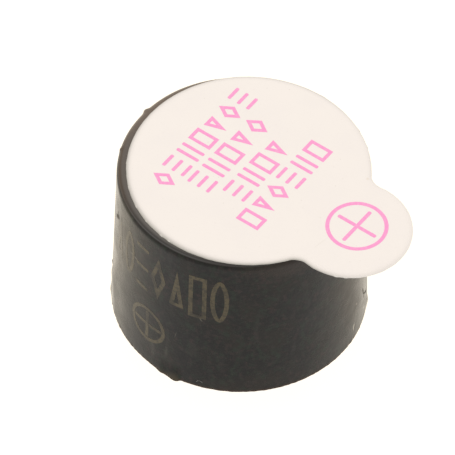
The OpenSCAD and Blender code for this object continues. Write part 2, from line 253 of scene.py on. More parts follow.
class Finish:
    """A material built up a layer at a time, with its patterns on Object coordinates."""

    def __init__(self, name, colour, roughness=0.5, metallic=0.0, ior=1.45):
        self.material = bpy.data.materials.new(name)
        self.material.use_nodes = True
        self.nodes = self.material.node_tree.nodes
        self.links = self.material.node_tree.links
        self.shader = self.nodes["Principled BSDF"]
        self.shader.inputs["Base Color"].default_value = (*colour, 1)
        self.shader.inputs["Roughness"].default_value = roughness
        self.shader.inputs["Metallic"].default_value = metallic
        self.shader.inputs["IOR"].default_value = ior
        self.place = self.nodes.new("ShaderNodeTexCoord").outputs["Object"]
        self.body = colour
        self.normal = None

    def squeezed(self, squeeze, turn=0.0):
        """Object coordinates turned round the upright axis, then stretched along each axis."""
        mapping = self.nodes.new("ShaderNodeMapping")
        mapping.vector_type = "TEXTURE"
        mapping.inputs["Rotation"].default_value = (0, 0, turn)
        mapping.inputs["Scale"].default_value = squeeze
        self.links.new(self.place, mapping.inputs["Vector"])
        return mapping.outputs["Vector"]

    def along(self, axis, turn=0.0):
        """The Object coordinate along one axis, which may be turned round the upright one."""
        split = self.nodes.new("ShaderNodeSeparateXYZ")
        self.links.new(self.squeezed((1, 1, 1), turn), split.inputs["Vector"])
        return split.outputs[axis]

    def blotches(self, size, detail=2.0, where=None):
        """Noise whose blotches are about this size across."""
        texture = self.nodes.new("ShaderNodeTexNoise")
        texture.inputs["Scale"].default_value = 1 / size
        texture.inputs["Detail"].default_value = detail
        self.links.new(where or self.place, texture.inputs["Vector"])
        return texture.outputs["Fac"]

    def grooves(self, spacing, direction="Z", rings=False):
        """Even grooves across one axis, or round it."""
        texture = self.nodes.new("ShaderNodeTexWave")
        texture.wave_type = "RINGS" if rings else "BANDS"
        if rings:
            texture.rings_direction = direction
        else:
            texture.bands_direction = direction
        texture.inputs["Scale"].default_value = math.pi / (10 * spacing)
        self.links.new(self.place, texture.inputs["Vector"])
        return texture.outputs["Fac"]

    def away(self, place, turn, reach):
        """How far a point is from a place, in shares of its reach along each turned axis."""
        mapping = self.nodes.new("ShaderNodeMapping")
        mapping.vector_type = "TEXTURE"
        mapping.inputs["Location"].default_value = place
        mapping.inputs["Rotation"].default_value = turn
        mapping.inputs["Scale"].default_value = reach
        distance = self.nodes.new("ShaderNodeVectorMath")
        distance.operation = "LENGTH"
        self.links.new(self.place, mapping.inputs["Vector"])
        self.links.new(mapping.outputs["Vector"], distance.inputs[0])
        return distance.outputs["Value"]

    def joined(self, operation, first, second):
        """Two values added, subtracted or multiplied, either of which may be a number."""
        combined = self.nodes.new("ShaderNodeMath")
        combined.operation = operation
        for socket, value in zip(combined.inputs, (first, second)):
            if isinstance(value, (int, float)):
                socket.default_value = value
            else:
                self.links.new(value, socket)
        return combined.outputs["Value"]

    def spread(self, value, low, high, to_low=0.0, to_high=1.0):
        """The value's stretch from low to high, laid smoothly over another stretch."""
        stretch = self.nodes.new("ShaderNodeMapRange")
        stretch.interpolation_type = "SMOOTHSTEP"
        stretch.inputs["From Min"].default_value = low
        stretch.inputs["From Max"].default_value = high
        stretch.inputs["To Min"].default_value = to_low
        stretch.inputs["To Max"].default_value = to_high
        self.links.new(value, stretch.inputs["Value"])
        return stretch.outputs["Result"]

    def tint(self, share, colour):
        """Lays another colour over the body's, by its share from 0 to 1."""
        mix = self.nodes.new("ShaderNodeMix")
        mix.data_type = "RGBA"
        self.links.new(share, mix.inputs[0])
        if isinstance(self.body, tuple):
            mix.inputs[6].default_value = (*self.body, 1)
        else:
            self.links.new(self.body, mix.inputs[6])
        mix.inputs[7].default_value = (*colour, 1)
        self.body = mix.outputs[2]
        self.links.new(self.body, self.shader.inputs["Base Color"])

    def gloss(self, value):
        """How rough the surface is, taken from a pattern."""
        self.links.new(value, self.shader.inputs["Roughness"])

    def relief(self, value, depth):
        """A layer of raised grain, over the layers before it."""
        bump = self.nodes.new("ShaderNodeBump")
        bump.inputs["Strength"].default_value = 1.0
        bump.inputs["Distance"].default_value = depth
        self.links.new(value, bump.inputs["Height"])
        if self.normal is not None:
            self.links.new(self.normal, bump.inputs["Normal"])
        self.normal = bump.outputs["Normal"]
        self.links.new(self.normal, self.shader.inputs["Normal"])


def moulded_black():
    """Black plastic from a well-used mould: mottled, scuffed, dusty on its top edge, with painted
    light there and under the seal's tab.
    """
    finish = Finish("moulded_black", (0.002, 0.002, 0.0015), ior=1.302)
    patches = finish.blotches(1.3 * mm, detail=4)
    finish.tint(finish.spread(patches, 0.42, 0.68), (0.006, 0.005, 0.0025))
    warm_grain = finish.blotches(0.26 * mm, detail=3)
    finish.tint(finish.spread(warm_grain, 0.48, 0.72), (0.015, 0.009, 0.008))
    cool_grain = finish.blotches(0.3 * mm, 3, finish.squeezed((1, 1, 1.3), 0.7))
    finish.tint(finish.spread(cool_grain, 0.48, 0.72), (0.006, 0.011, 0.006))
    streaks = finish.blotches(0.5 * mm, 2, finish.squeezed((1, 1, 4)))
    finish.tint(finish.spread(streaks, 0.56, 0.76, 0, 0.4), (0.018, 0.017, 0.015))
    specks = finish.blotches(0.06 * mm, detail=1)
    finish.tint(finish.spread(specks, 0.7, 0.82, 0, 0.3), (0.08, 0.07, 0.055))

    ragged = finish.joined("MULTIPLY", finish.blotches(0.16 * mm, detail=3), 0.9)
    nicks = 0.0
    for degrees, level, half_width, half_length, lean, strength, colour in scuffs:
        angle = math.radians(degrees)
        radius = wall_radius(angle, level)
        place = (radius * math.cos(angle), radius * math.sin(angle), level)
        turn = (math.radians(lean), 0, angle)
        away = finish.away(place, turn, (0.3 * mm + half_width, half_width, half_length))
        share = finish.spread(finish.joined("ADD", away, ragged), 1.6, 0.9, 0, strength)
        finish.tint(share, scuff_colours[colour])
        if colour == "dirt":
            nicks = finish.joined("ADD", nicks, share)

    height = finish.along("Z")
    over_rim = finish.spread(height, 0.18 * mm, 0.04 * mm)
    off_seat = finish.spread(height, 0.004 * mm, 0.03 * mm)
    finish.tint(finish.joined("MULTIPLY", over_rim, off_seat), (0.03, 0.014, 0.006))
    out = finish.away((0, 0, 0), (0, 0, 0), (rim_radius, rim_radius, 1))
    finish.tint(finish.spread(out, 1.004, 1.02, 0, 0.7), (0.05, 0.042, 0.026))
    # A grey film over the upward-facing top of the rounded edge: dust, and painted light from
    # above that makes the top of the edge paler than the wall.
    film_from = case_top - 0.21 * mm
    film_full = case_top - 0.15 * mm
    film = finish.spread(height, film_from, film_full)
    finish.tint(film, (0.038, 0.037, 0.036))
    # A pale band across the rounded top edge, fullest on its front-left stretch and fading away
    # from there: a painted highlight line.
    line_from = case_top - 0.17 * mm
    line_fading = case_top - 0.135 * mm
    line_gone = case_top - 0.115 * mm
    over_line = finish.spread(height, line_gone, line_fading)
    under_line = finish.spread(height, line_from, film_full)
    line = finish.joined("MULTIPLY", over_line, under_line)
    highlight_middle = (-2 * mm, -5 * mm, case_top)
    highlight_reach = finish.spread(finish.away(highlight_middle, (0, 0, 0), (5 * mm,) * 3), 1, 0.5)
    finish.tint(finish.joined("MULTIPLY", line, highlight_reach), (0.058, 0.059, 0.06))
    # Towards the far side the film turns browner: painted light from above and behind.
    far_side_turn = math.radians(150)
    towards_far_side = finish.along("X", far_side_turn)
    browner = finish.spread(towards_far_side, -2 * mm, 3 * mm)
    finish.tint(finish.joined("MULTIPLY", film, browner), (0.063, 0.045, 0.031))
    dust = finish.spread(height, case_top - 0.1 * mm, case_top - 0.012 * mm)
    settled = finish.spread(towards_far_side, -3 * mm, 1 * mm, 1, 0.6)
    finish.tint(finish.joined("MULTIPLY", dust, settled), (0.12, 0.115, 0.11))
    # Palest brown on the far side of the rim: painted light from behind.
    brownest = finish.spread(towards_far_side, 3.1 * mm, 5.2 * mm, 0, 0.9)
    finish.tint(finish.joined("MULTIPLY", film, brownest), (0.132, 0.105, 0.084))

    dull = finish.spread(patches, 0.3, 0.75, 0.19, 0.34)
    finish.gloss(finish.joined("ADD", dull, finish.joined("MULTIPLY", nicks, 0.5)))
    finish.relief(finish.blotches(0.9 * mm, detail=3), 0.012 * mm)
    finish.relief(finish.blotches(0.14 * mm, detail=3), 0.006 * mm)
    finish.relief(finish.joined("SUBTRACT", 1, nicks), 0.05 * mm)
    return finish.material


case_mesh = turned(
    [
        (bore_radius + mouth_bevel, 0),
        (rim_radius, 0),
        (top_radius, case_top),
        (sound_hole_radius, case_top),
        (sound_hole_radius, roof_z),
        (chamber_radius, roof_z),
        (chamber_radius, ledge_z),
        (bore_radius, ledge_z),
        (bore_radius, mouth_bevel),
    ],
    case_steps,
)
rounded(case_mesh, turned_corner(case_mesh, top_radius, case_top), top_edge, 10)
rounded(case_mesh, turned_corner(case_mesh, chamber_radius, roof_z), roof_corner, 4)
rounded(case_mesh, turned_corner(case_mesh, rim_radius, 0), rim_rounding, 2)

outside_from = (bore_radius + rim_radius) / 2
wall_span = 0.8 * case_top
wall_edges = [
    edge for edge in case_mesh.edges
    if abs(edge.verts[0].co.z - edge.verts[1].co.z) > wall_span
    and off_axis(edge.verts[0]) > outside_from
]
bmesh.ops.subdivide_edges(case_mesh, edges=wall_edges, cuts=wall_rows, use_grid_fill=True)
wall_top = case_top - top_edge + 0.01 * mm
near_wall = 0.02 * mm
for vert in case_mesh.verts:
    angle = math.atan2(vert.co.y, vert.co.x)
    height = vert.co.z
    radius = vert.co.xy.length
    if height > wall_top and radius > top_radius - top_edge:
        vert.co.xy *= 1 + knocked(angle, height) / radius
    elif height < wall_top and abs(radius - tapered_radius(height)) < near_wall:
        reach = wall_radius(angle, height)
        if height < flash_height:
            around = Vector((math.cos(angle), math.sin(angle), 0))
            jag = rim_raggedness * noise.noise(around * ragged_turns)
            reach += (1 - height / flash_height) ** flash_fade * flash_at(angle)
            reach += max(0, 1 - height / ragged_height) * jag
        vert.co.xy *= reach / radius

case = piece(case_mesh, "moulded_case", moulded_black())
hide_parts("case")


# ---- paring at the rim ----
# A hair-thin curl of the case's own plastic, pared off at the rim when the flash was
# trimmed. It clings flat to the wall, just over the rim.

curl_angle = math.radians(-71.6)
curl_height = 0.3 * mm
curl_radius = 0.15 * mm
curl_half_thickness = 0.014 * mm
curl_arc = math.radians(150)
curl_tilt = math.radians(110)
curl_off_wall = 0.3 * curl_half_thickness
curl_sides = 12
curl_steps = 20


def pared_plastic():
    """A paring of the plastic, turned greyish white where it was bent."""
    finish = Finish("pared_plastic", (0.15, 0.16, 0.155), roughness=0.4)
    finish.tint(finish.spread(finish.blotches(0.05 * mm), 0.4, 0.65), (0.06, 0.065, 0.06))
    return finish.material


curl_mesh = bmesh.new()
bmesh.ops.create_circle(
    curl_mesh, segments=curl_sides, radius=curl_half_thickness,
    matrix=Matrix.Translation((curl_radius, 0, 0)) @ Matrix.Rotation(math.pi / 2, 4, "X"),
)
bmesh.ops.spin(
    curl_mesh, geom=curl_mesh.verts[:] + curl_mesh.edges[:], cent=(0, 0, 0), axis=(0, 0, 1),
    angle=curl_arc, steps=curl_steps,
)
bmesh.ops.holes_fill(curl_mesh, edges=curl_mesh.edges[:], sides=curl_sides)
bmesh.ops.recalc_face_normals(curl_mesh, faces=curl_mesh.faces[:])
curl_out = wall_radius(curl_angle, curl_height) + curl_off_wall
curl_place = (
    Matrix.Rotation(curl_angle, 4, "Z")
    @ Matrix.Translation((curl_out, 0, curl_height))
    @ Matrix.Rotation(math.pi / 2, 4, "Y")
    @ Matrix.Rotation(curl_tilt, 4, "Z")
)
bmesh.ops.transform(curl_mesh, matrix=curl_place, verts=curl_mesh.verts[:])
curl = piece(curl_mesh, "rim_curl", pared_plastic())


# ---- diaphragm and its iron disc ----
# A thin rolled steel disc that lies on the plastic ring, with a small iron disc bonded to
# its middle. Together they are what moves and sounds.


def dress(material, *names):
    """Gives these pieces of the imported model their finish."""
    for name in names:
        nodes[name].data.materials.clear()
        nodes[name].data.materials.append(material)


def rolled_steel():
    """Cold-rolled strip: long fine streaks in a cool grey."""
    finish = Finish("rolled_steel", (0.55, 0.55, 0.54), roughness=0.3, metallic=1)
    streaks = finish.blotches(0.04 * mm, 3, finish.squeezed((20, 1, 1)))
    finish.tint(finish.spread(streaks, 0.35, 0.7, 0, 0.6), (0.38, 0.38, 0.36))
    finish.gloss(finish.spread(streaks, 0.3, 0.7, 0.22, 0.4))
    finish.relief(streaks, 0.002 * mm)
    return finish.material


def zinc_plate():
    """Turned iron under dull zinc: faint turning rings and cloudy patches."""
    finish = Finish("zinc_plate", (0.5, 0.5, 0.52), roughness=0.42, metallic=1)
    clouds = finish.blotches(0.5 * mm, detail=4)
    finish.tint(finish.spread(clouds, 0.4, 0.65, 0, 0.7), (0.36, 0.36, 0.39))
    finish.gloss(finish.spread(clouds, 0.35, 0.7, 0.34, 0.55))
    finish.relief(finish.grooves(0.08 * mm, rings=True), 0.002 * mm)
    return finish.material


iron = zinc_plate()
dress(rolled_steel(), "diaphragm")
dress(iron, "armature")


# ---- plastic ring ----
# A natural-coloured moulded sleeve. The stack stands inside it, and its shoulder and lip
# carry the diaphragm's edge just under the case's ledge.


def natural_nylon():
    """Unpigmented nylon: milky, a little uneven, satin."""
    finish = Finish("natural_nylon", (0.72, 0.7, 0.62), roughness=0.45)
    clouds = finish.blotches(0.9 * mm, detail=3)
    finish.tint(finish.spread(clouds, 0.35, 0.7, 0, 0.6), (0.6, 0.57, 0.48))
    finish.relief(finish.blotches(0.07 * mm), 0.002 * mm)
    return finish.material


dress(natural_nylon(), "support_ring")


# ---- magnet ----
# A sintered ferrite ring, ground flat on both faces. It sits on the yoke round the
# windings, inside the plastic sleeve.


def ground_ferrite():
    """Dark sintered ferrite: a dry grey with black pores."""
    finish = Finish("ground_ferrite", (0.045, 0.044, 0.044), roughness=0.62)
    pores = finish.blotches(0.06 * mm, detail=3)
    finish.tint(finish.spread(pores, 0.52, 0.62), (0.016, 0.015, 0.015))
    finish.gloss(finish.spread(pores, 0.4, 0.65, 0.5, 0.8))
    finish.relief(pores, 0.008 * mm)
    return finish.material


dress(ground_ferrite(), "magnet")


# ---- core and yoke ----
# The iron core is riveted by its foot into the stamped steel yoke, which closes the
# magnet's circuit and has slots for the winding ends and notches round the pins.

dress(iron, "core", "yoke")


# ---- windings and their ends ----
# Two windings of enamelled copper wire, one over the other on the core. Their four ends
# drop through the yoke's slots and through the board.


def enamelled_copper(name, colour, shade, turn_pitch=None):
    """Copper wire under clear enamel, with its turns where it is wound."""
    finish = Finish(name, colour, roughness=0.28, metallic=0.85)
    finish.shader.inputs["Coat Weight"].default_value = 0.6
    finish.shader.inputs["Coat Roughness"].default_value = 0.12
    finish.tint(finish.spread(finish.blotches(0.25 * mm, detail=3), 0.4, 0.7), shade)
    if turn_pitch:
        finish.relief(finish.grooves(turn_pitch), 0.03 * mm)
    return finish.material


wire_pitch = 0.11 * mm
drive_wire = enamelled_copper("drive_wire", (0.5, 0.16, 0.06), (0.36, 0.1, 0.04), wire_pitch)
feedback_wire = enamelled_copper("feedback_wire", (0.62, 0.24, 0.08), (0.46, 0.16, 0.05))
dress(drive_wire, "drive_coil", "drive_leads")
dress(feedback_wire, "feedback_coil", "feedback_leads")


# ---- circuit board ----
# A round of green glass laminate with etched copper lands and tracks on its lower face. It
# lies under the yoke, and the resin that is poured into the case's mouth holds it.


def glass_laminate():
    """Green laminate with the glass cloth's weave just showing."""
    finish = Finish("glass_laminate", (0.02, 0.11, 0.045), roughness=0.38)
    for direction in ("X", "Y"):
        weave = finish.grooves(0.35 * mm, direction)
        finish.tint(finish.spread(weave, 0.55, 1, 0, 0.35), (0.05, 0.18, 0.08))
        finish.relief(weave, 0.004 * mm)
    return finish.material


def etched_copper():
    """Copper foil, slightly tarnished."""
    finish = Finish("etched_copper", (0.8, 0.36, 0.2), roughness=0.35, metallic=1)
    tarnish = finish.blotches(0.4 * mm, detail=4)
    finish.tint(finish.spread(tarnish, 0.45, 0.7), (0.45, 0.2, 0.12))
    finish.gloss(finish.spread(tarnish, 0.4, 0.7, 0.28, 0.5))
    return finish.material


dress(glass_laminate(), "circuit_board")
dress(etched_copper(), "board_copper")


# ---- transistor and resistor ----
# A moulded three-lead transistor and a small ceramic chip resistor with metal ends, both
# soldered to the board's lower face.


def moulding_compound():
    """Filled epoxy: black, dry, with fine pale filler."""
    finish = Finish("moulding_compound", (0.012, 0.012, 0.012), roughness=0.6)
    filler = finish.blotches(0.03 * mm, detail=2)
    finish.tint(finish.spread(filler, 0.6, 0.75, 0, 0.6), (0.05, 0.05, 0.05))
    finish.relief(filler, 0.003 * mm)
    return finish.material


def glazed_ceramic():
    """Black glaze over a ceramic chip."""
    finish = Finish("glazed_ceramic", (0.015, 0.015, 0.02), roughness=0.18)
    ripple = finish.blotches(0.2 * mm)
    finish.tint(finish.spread(ripple, 0.4, 0.7), (0.03, 0.03, 0.04))
    finish.relief(ripple, 0.006 * mm)
    return finish.material


def tin_plate():
    """Bright tin: faint drawing streaks along the upright axis and a few dull spots."""
    finish = Finish("tin_plate", (0.5, 0.495, 0.48), roughness=0.2, metallic=1)
    streaks = finish.blotches(0.03 * mm, 3, finish.squeezed((1, 1, 14)))
    dull = finish.blotches(0.3 * mm, detail=4)
    finish.tint(finish.spread(dull, 0.45, 0.75, 0, 0.7), (0.36, 0.35, 0.33))
    finish.gloss(finish.spread(dull, 0.4, 0.75, 0.16, 0.42))
    finish.relief(streaks, 0.0015 * mm)
    return finish.material


tin = tin_plate()
dress(moulding_compound(), "transistor_body")
dress(glazed_ceramic(), "resistor_body")
dress(tin, "transistor_leads", "resistor_caps")


# ---- solder ----
# Tin alloy melted onto the board's lands: fillets at the chips' ends, low domes over the
# winding ends, and a cone round each pin.


def bright_solder():
    """Solder as it froze: bright, with a faint frosting."""
    finish = Finish("bright_solder", (0.68, 0.68, 0.69), roughness=0.2, metallic=1)
    frost = finish.blotches(0.09 * mm, detail=4)
    finish.tint(finish.spread(frost, 0.45, 0.7, 0, 0.7), (0.5, 0.5, 0.52))
    finish.gloss(finish.spread(frost, 0.4, 0.7, 0.14, 0.4))
    finish.relief(frost, 0.004 * mm)
    return finish.material


dress(bright_solder(), "chip_solder", "lead_solder", "pin_solder")


# ---- pins ----
# Two lengths of tinned wire with beveled tips, 7.6 mm apart. Each is flattened for a
# stretch inside the resin, which locks it, and ends just over the board.

pin_tip_bevel = 0.1 * mm
pin_rounding = 0.03 * mm
pin_lock_from = 0.3 * mm
pin_lock_to = 1.1 * mm
pin_lock_radius = 0.5 * mm
pin_lock_flat = 0.28
pin_steps = 48


def straight_pin(name, node):
    """One pin, in place of its node: turned to its outline, then flattened where it locks."""
    low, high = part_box(node)
    radius = (high.x - low.x) / 2
    bm = turned(
        [
            (0, low.z),
            (radius - pin_tip_bevel, low.z),
            (radius, low.z + pin_tip_bevel),
            (radius, pin_lock_from),
            (pin_lock_radius, pin_lock_from),
            (pin_lock_radius, pin_lock_to),
            (radius, pin_lock_to),
            (radius, high.z),
            (0, high.z),
        ],
        pin_steps,
    )
    axis_edges = [
        edge for edge in bm.edges if all(off_axis(vert) < 0.1 * merge_reach for vert in edge.verts)
    ]
    bmesh.ops.delete(bm, geom=axis_edges, context="EDGES")
    rounded(bm, turned_corner(bm, radius - pin_tip_bevel, low.z), pin_rounding, 2)
    rounded(bm, turned_corner(bm, radius, low.z + pin_tip_bevel), pin_rounding, 2)
    locks = [vert for vert in bm.verts if off_axis(vert) > radius + 0.01 * mm]
    bmesh.ops.scale(bm, vec=(pin_lock_flat, 1, 1), verts=locks)
    bmesh.ops.translate(bm, vec=((low.x + high.x) / 2, 0, 0), verts=bm.verts[:])
    pin = piece(bm, name, tin)
    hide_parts(node)


straight_pin("plus_pin", "pin_positive")
straight_pin("minus_pin", "pin_negative")


# ---- resin ----
# Black epoxy poured round the board and the pins after assembly. It sets glossy, a little
# below the rim, and climbs slightly at the wall and at the pins.


def poured_epoxy():
    """Glossy black resin: a slow ripple, a few dull clouds and settled dust."""
    finish = Finish("poured_epoxy", (0.008, 0.008, 0.008), roughness=0.12)
    ripple = finish.blotches(2.2 * mm, detail=2)
    dust = finish.blotches(0.06 * mm, detail=1)
    finish.tint(finish.spread(dust, 0.68, 0.8, 0, 0.5), (0.12, 0.11, 0.1))
    finish.gloss(finish.spread(ripple, 0.35, 0.7, 0.07, 0.22))
    finish.relief(ripple, 0.12 * mm)
    return finish.material


dress(poured_epoxy(), "resin")


# ---- seal ----
# A peel-off film with a round tab, stuck over the sound hole by hand and so a little off
# centre. It is punched out of coated sheet, which presses its upper edge down and leaves
# small burrs, and handling has left a faint crease and a smudge on it. Painted shade greys
# its pressed upper edge, most towards the left, its cut side and the line of the crease.

seal_low, seal_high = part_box("seal_label")

seal_radius = top_radius - 0.112 * mm
seal_shift = Vector((0.296 * mm, 0.126 * mm, 0))
seal_askew = Matrix.Rotation(math.radians(-0.5), 3, "Z")
tab_radius = 2.9 * mm
tab_x = seal_radius + 3.05 * mm - tab_radius
neck_radius = 0.8 * mm
round_steps = 220
tab_steps = 130
neck_steps = 16
seal_cut = 0.03 * mm
cut_waviness = 0.014 * mm
cut_wave_size = 0.3 * mm
seal_shoulder = [
    # in from the cut edge, up from the case
    (0.02 * mm, 0.065 * mm),
    (0.05 * mm, 0.095 * mm),
    (0.1 * mm, 0.118 * mm),
    (0.17 * mm, 0.133 * mm),
    (0.26 * mm, 0.143 * mm),
    (0.36 * mm, 0.148 * mm),
    (0.46 * mm, 0.15 * mm),
]

round_burrs = [
    # degrees round the film's round part, reach along its edge, how far the burr stands out
    (-147, 0.06 * mm, 0.02 * mm),
    (-132, 0.08 * mm, 0.02 * mm),
    (-120, 0.09 * mm, 0.02 * mm),
    (-110, 0.06 * mm, 0.01 * mm),
    (-99, 0.08 * mm, 0.03 * mm),
    (-94, 0.07 * mm, 0.01 * mm),
    (89, 0.1 * mm, 0.03 * mm),
    (62, 0.08 * mm, 0.03 * mm),
    (51, 0.08 * mm, 0.03 * mm),
]
tab_burrs = [
    # the same round its tab
    (-67, 0.1 * mm, 0.03 * mm),
    (-58, 0.08 * mm, 0.03 * mm),
]


def on_cut_edge(middle, radius, burrs):
    """The burrs of one round stretch of the cut edge, each with its place on the film."""
    for degrees, reach, height in burrs:
        angle = math.radians(degrees)
        out = radius * Vector((math.cos(angle), math.sin(angle), 0))
        yield middle + out, reach, height


tab_middle = seal_shift + seal_askew @ Vector((tab_x, 0, 0))
seal_burrs = [
    *on_cut_edge(seal_shift, seal_radius, round_burrs),
    *on_cut_edge(tab_middle, tab_radius, tab_burrs),
]


def arc_on(bm, end, centre, angle, steps):
    """Carries an outline on from its last corner along an arc, and gives the new last one."""
    swung = bmesh.ops.spin(
        bm, geom=[end], cent=centre, axis=(0, 0, 1), angle=angle, steps=steps,
    )
    return [item for item in swung["geom_last"] if isinstance(item, bmesh.types.BMVert)][0]


def seal_blank(bm, height):
    """The seal's outline as one flat face: two rounds joined by two hollow fillets."""
    across = (seal_radius + neck_radius) ** 2 - (tab_radius + neck_radius) ** 2
    neck_x = (across + tab_x ** 2) / (2 * tab_x)
    neck_y = math.sqrt((seal_radius + neck_radius) ** 2 - neck_x ** 2)
    seal_from = math.atan2(neck_y, neck_x)
    tab_from = math.atan2(neck_y, neck_x - tab_x)
    neck_sweep = seal_from - tab_from
    start_x = seal_radius * math.cos(seal_from)
    start_y = seal_radius * math.sin(seal_from)
    start = bm.verts.new((start_x, start_y, height))
    end = arc_on(bm, start, (0, 0, height), 2 * (math.pi - seal_from), round_steps)
    end = arc_on(bm, end, (neck_x, -neck_y, height), neck_sweep, neck_steps)
    end = arc_on(bm, end, (tab_x, 0, height), 2 * tab_from, tab_steps)
    arc_on(bm, end, (neck_x, neck_y, height), neck_sweep, neck_steps)
    bmesh.ops.remove_doubles(bm, verts=bm.verts[:], dist=merge_reach)
    bmesh.ops.contextual_create(bm, geom=bm.edges[:])


def thickened(bm, thickness):
    """Raises every face of a flat shape by this thickness and closes its sides."""
    raised = bmesh.ops.extrude_face_region(bm, geom=bm.faces[:], use_keep_orig=True)
    tops = [item for item in raised["geom"] if isinstance(item, bmesh.types.BMVert)]
    bmesh.ops.translate(bm, vec=(0, 0, thickness), verts=tops)
    bmesh.ops.recalc_face_normals(bm, faces=bm.faces[:])


def coated_film():
    """White coated film: a very fine tooth, faint clouding and a few grey specks; painted shade on
    its edges and crease.
    """
    finish = Finish("coated_film", (0.75, 0.735, 0.725), roughness=0.5)
    clouds = finish.blotches(1.8 * mm, detail=3)
    finish.tint(finish.spread(clouds, 0.35, 0.7, 0, 0.5), (0.73, 0.715, 0.715))
    specks = finish.blotches(0.11 * mm, detail=1)
    finish.tint(finish.spread(specks, 0.74, 0.82, 0, 0.5), (0.55, 0.52, 0.5))
    height = finish.along("Z")
    # Painted shade on the pressed-down upper edge: deepest where it drops towards the cut, and
    # stronger towards the left.
    shade_to_left = finish.spread(finish.along("X"), 4 * mm, -1 * mm, 0.12, 0.6)
    shoulder_shade = finish.spread(height, seal_high.z - 0.05 * mm, seal_high.z, 1, 0)
    finish.tint(finish.joined("MULTIPLY", shoulder_shade, shade_to_left), (0.43, 0.425, 0.415))
    # Painted shade on the film's cut side, lighter at the tab's end and towards the back.
    wear_and_edge_shade = finish.spread(height, seal_low.z, seal_high.z - 0.01 * mm, 0.85, 0)
    off_tab_end = finish.spread(finish.along("X"), 6 * mm, 8.6 * mm, 1, 0.1)
    off_back = finish.spread(finish.along("Y"), -1.5 * mm, 2.5 * mm, 1, 0.35)
    wear_and_edge_shade = finish.joined("MULTIPLY", finish.joined("MULTIPLY", wear_and_edge_shade, off_tab_end), off_back)
    finish.tint(wear_and_edge_shade, (0.28, 0.28, 0.25))
    for place, reach, _ in seal_burrs:
        near = finish.away((place.x, place.y, seal_low.z), (0, 0, 0), (1.5 * reach,) * 3)
        finish.tint(finish.spread(near, 1, 0.4, 0, 0.6), (0.6, 0.6, 0.58))
    smudge_place = (5.05 * mm, 2.94 * mm, seal_high.z)
    smudge = finish.away(smudge_place, (0, 0, 0), (0.12 * mm,) * 3)
    finish.tint(finish.spread(smudge, 1, 0, 0, 0.6), (0.66, 0.6, 0.52))
    # A faint grey streak along the crease: painted shade of the fold.
    crease_place = (5.58 * mm, -1.5 * mm, seal_high.z)
    crease_turn = (0, 0, math.radians(-9))
    crease = finish.away(crease_place, crease_turn, (0.05 * mm, 0.7 * mm, 1 * mm))
    finish.tint(finish.spread(crease, 1, 0, 0, 0.3), (0.62, 0.6, 0.57))
    finish.relief(finish.blotches(1.6 * mm, detail=2), 0.02 * mm)
    finish.relief(finish.blotches(0.06 * mm, detail=2), 0.001 * mm)
    return finish.material


def shouldered(bm):
    """Draws the top in and up in steps, for an edge that the punch has pushed down."""
    top = max(bm.faces, key=lambda face: face.calc_center_median().z)
    inward, upward = 0, seal_cut
    for reach, rise in seal_shoulder:
        bmesh.ops.inset_region(bm, faces=[top], thickness=reach - inward, use_even_offset=True)
        bmesh.ops.translate(bm, vec=(0, 0, rise - upward), verts=top.verts[:])
        inward, upward = reach, rise


def burred(bm):
    """Makes the cut edge slightly uneven, with a few small burrs."""
    bm.normal_update()
    least_share = 0.2
    outward = {vert: Vector((vert.normal.x, vert.normal.y, 0)) for vert in bm.verts}
    for vert, way in outward.items():
        share = 1 - (vert.co.z - seal_low.z) / (seal_high.z - seal_low.z)
        if min(way.length, share) < least_share:
            continue
        flat = Vector((vert.co.x, vert.co.y, 0))
        push = cut_waviness * noise.noise(flat / cut_wave_size)
        for place, reach, height in seal_burrs:
            push += height * math.exp(-(vert.co.xy - place.xy).length_squared / reach ** 2)
        vert.co += way.normalized() * push * share


seal_mesh = bmesh.new()
seal_blank(seal_mesh, seal_low.z)
thickened(seal_mesh, seal_cut)
shouldered(seal_mesh)
bmesh.ops.rotate(seal_mesh, cent=(0, 0, 0), matrix=seal_askew, verts=seal_mesh.verts[:])
bmesh.ops.translate(seal_mesh, vec=seal_shift, verts=seal_mesh.verts[:])
burred(seal_mesh)
seal = piece(seal_mesh, "peel_off_seal", coated_film(), crease=60)
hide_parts("seal_label")


# ---- print on the seal ----
# One pass of pink ink on the film: four rows of plain figures across the round part, and
# a ring with a plus in it on the tab, on the side of the positive pin.

ink_height = 0.004 * mm
ink_line = 0.172 * mm
row_height = 1.24 * mm
row_gap = 0.24 * mm
row_turn = Matrix.Rotation(math.radians(-90), 3, "Z")
row_kinds = ["box", "diamond", "bars", "triangle", "rungs"]
printed_rows = [
    # foot of the row, where it starts and ends, number of figures
    (1.58 * mm, 3.41 * mm, -2.77 * mm, 6),
    (0.07 * mm, 2.36 * mm, -1.78 * mm, 4),
    (-1.56 * mm, 2.94 * mm, -2.32 * mm, 5),
    (-3.07 * mm, 3.88 * mm, -3.26 * mm, 7),
]
tab_ring_x = 6.33 * mm
tab_ring_y = 0.33 * mm
tab_ring_radius = 1.46 * mm
tab_plus_reach = 1.07 * mm
tab_ring_line = 0.185 * mm

corner_share = 0.35
bar_share = 0.28
triangle_drop = 0.12
triangle_stretch = 1.15
oval_sides = 32
ring_sides = 72


def stroke(bm, across, up, width, height):
    """One flat bar with its corners taken off, centred at (across, up)."""
    at = Matrix.Translation((across, up, 0)) @ Matrix.Diagonal((width, height, 1, 1))
    made = bmesh.ops.create_grid(bm, x_segments=1, y_segments=1, size=0.5, matrix=at)
    bmesh.ops.bevel(
        bm, geom=made["verts"], offset=corner_share * min(width, height), segments=3,
        profile=0.5, affect="VERTICES", material=-1,
    )


